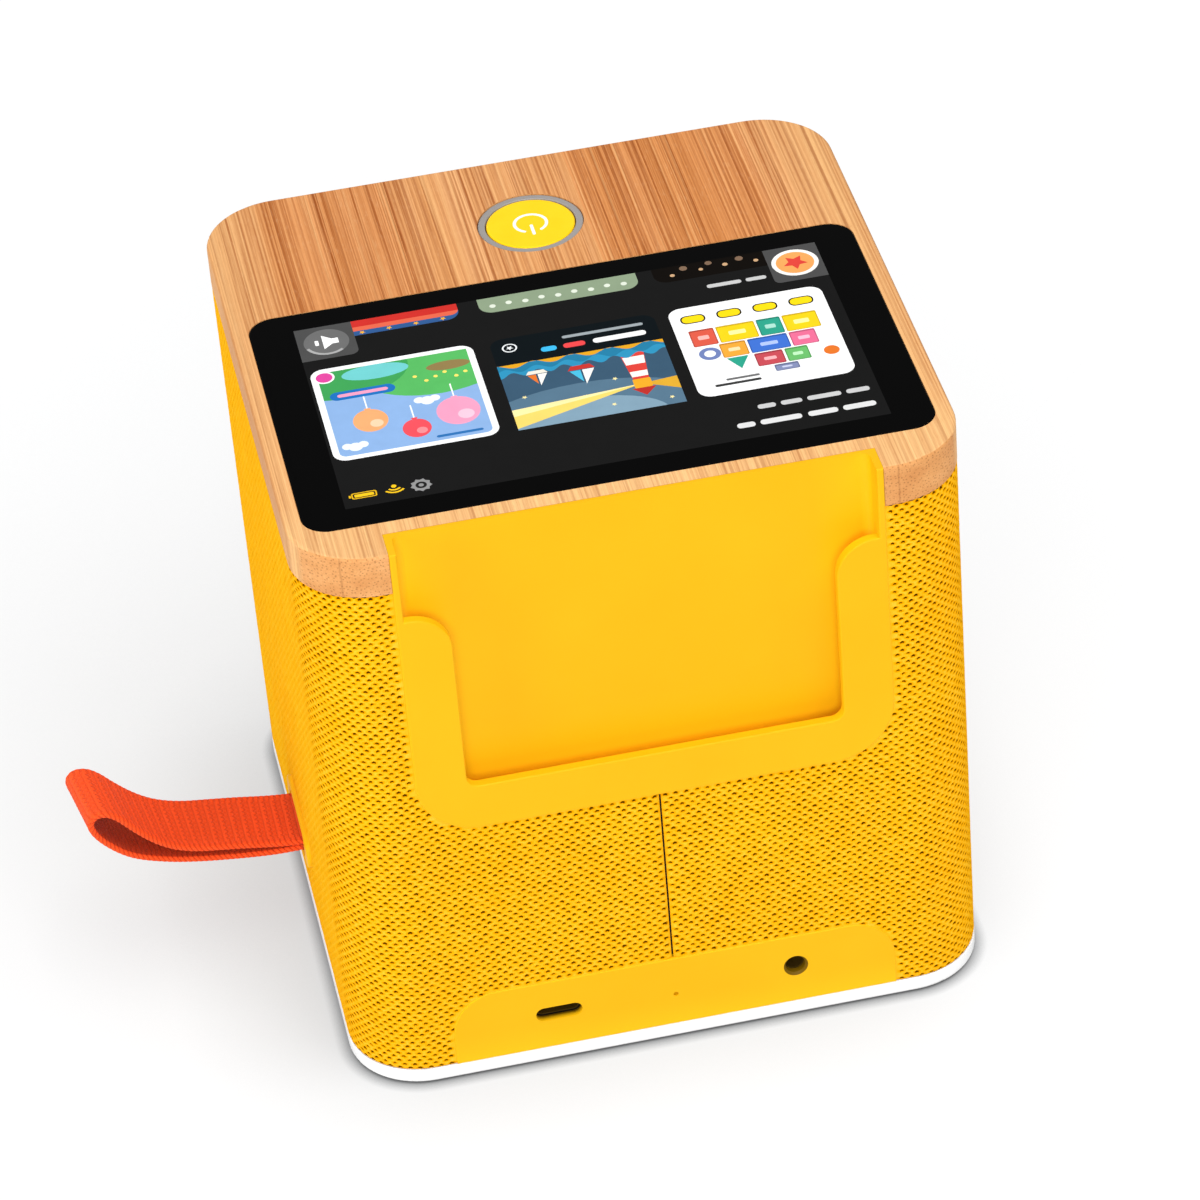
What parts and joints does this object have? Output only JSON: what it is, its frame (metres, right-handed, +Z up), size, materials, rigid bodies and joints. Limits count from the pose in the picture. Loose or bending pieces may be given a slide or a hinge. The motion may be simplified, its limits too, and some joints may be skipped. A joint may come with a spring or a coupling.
{
  "type": "audio story player",
  "caption": "Cube-shaped story player: knitted sleeve, bamboo top with touch display and power button, card dock and port panel on the back, webbing pull tab on the side.",
  "frame": {"origin": "centre of the cube at the surface it rests on, under the anti-slip pad", "axes": "+Z up; -Y towards the side with the power button, which faces the user; +Y out of the back, with the card dock and the ports; +X towards the side with the webbing tab"},
  "size_m": [0.1684, 0.1252, 0.1254],
  "materials": {
    "white_plastic": "satin moulded",
    "pad_rubber": "matt silicone sheet",
    "screw_steel": "zinc plated",
    "chassis_plastic": "fine texture",
    "yellow_knit": "open knitted mesh, bonded at its edges",
    "yellow_plastic": "satin, fine spark texture",
    "circuit_board": "solder mask",
    "copper": "bare copper",
    "bamboo": "laminated, caramelised, oiled",
    "cover_glass": "polished, printed black behind",
    "adhesive": "foam tape",
    "display_module": "module",
    "ribbon_film": "polyimide film",
    "ring_plastic": "translucent grey",
    "button_plastic": "satin",
    "silicone": "translucent",
    "silicone_black": "butyl",
    "led_white": "phosphor",
    "tin_plate": "tin plate",
    "chip_black": "moulded",
    "cell_wrap": "heat shrink",
    "lead_rubber": "PVC sheath",
    "foam": "closed-cell foam",
    "speaker_steel": "black phosphated",
    "ferrite": "sintered",
    "cone_paper": "coated paper",
    "spider_cloth": "doped cloth",
    "socket_steel": "nickel plated",
    "socket_plastic": "moulded",
    "bracket_steel": "powder coated",
    "orange_webbing": "ribbed woven webbing"
  },
  "bodies": {
    "housing": {"anti_slip_pad": "pad_rubber", "bamboo_top": "bamboo", "base_plate": "white_plastic", "base_screws": "screw_steel", "battery_cells": "cell_wrap", "battery_cradle": "chassis_plastic", "battery_lead": "lead_rubber", "battery_screws": "screw_steel", "board_chips": "chip_black", "board_screws": "screw_steel", "button_board": "circuit_board", "button_dome": "silicone", "button_leds": "led_white", "button_ring": "ring_plastic", "button_screws": "screw_steel", "card_dock": "yellow_plastic", "card_reader_board": "circuit_board", "card_reader_coil": "copper", "card_reader_screws": "screw_steel", "chassis_deck": "chassis_plastic", "cover_glass": "cover_glass", "deck_screws": "screw_steel", "display_frame": "chassis_plastic", "display_ribbon": "ribbon_film", "fabric_sleeve": "yellow_knit", "glass_tape": "adhesive", "headphone_socket": "socket_plastic", "inner_chassis": "chassis_plastic", "lcd_panel": "display_module", "main_board": "circuit_board", "port_board": "circuit_board", "port_lead": "lead_rubber", "port_panel": "yellow_plastic", "port_screws": "screw_steel", "radio_antenna": "ribbon_film", "reset_switch": "chip_black", "shield_can": "tin_plate", "speaker_basket": "speaker_steel", "speaker_chamber": "chassis_plastic", "speaker_gasket": "foam", "speaker_lead": "lead_rubber", "speaker_magnet": "ferrite", "speaker_screws": "screw_steel", "speaker_spider": "spider_cloth", "speaker_surround": "silicone_black", "speaker_top_plate": "speaker_steel", "speaker_yoke": "speaker_steel", "strap_anchor_bar": "screw_steel", "strap_bracket": "bracket_steel", "strap_screws": "screw_steel", "strap_slot_trim": "yellow_plastic", "strap_tail": "orange_webbing", "top_screws": "screw_steel", "usb_c_receptacle": "socket_steel"},
    "power_button": {"power_button_cap": "button_plastic"},
    "speaker_cone_body": {"speaker_cone": "cone_paper"},
    "reset_pin": {"reset_plunger": "socket_plastic"},
    "strap_tab": {"strap_webbing": "orange_webbing"}
  },
  "joints": [
    {"name": "power_button_press", "type": "slide", "parent": "housing", "child": "power_button", "axis": [0, 0, -1], "range_m": [0, 0.0009], "stiffness_N_per_m": 1500, "deforming": ["button_dome"]},
    {"name": "speaker_cone_travel", "type": "slide", "parent": "housing", "child": "speaker_cone_body", "axis": [0, -1, 0], "range_m": [-0.0014, 0.0014], "stiffness_N_per_m": 1400, "deforming": ["speaker_surround", "speaker_spider"]},
    {"name": "reset_press", "type": "slide", "parent": "housing", "child": "reset_pin", "axis": [0, -1, 0], "range_m": [0, 0.00025], "stiffness_N_per_m": 600},
    {"name": "strap_swing", "type": "hinge", "parent": "housing", "child": "strap_tab", "pos_m": [0.0635, 0, 0.01975], "axis": [0, -1, 0], "range_deg": [-20, 55], "stiffness_Nm_per_rad": 0.05}
  ]
}
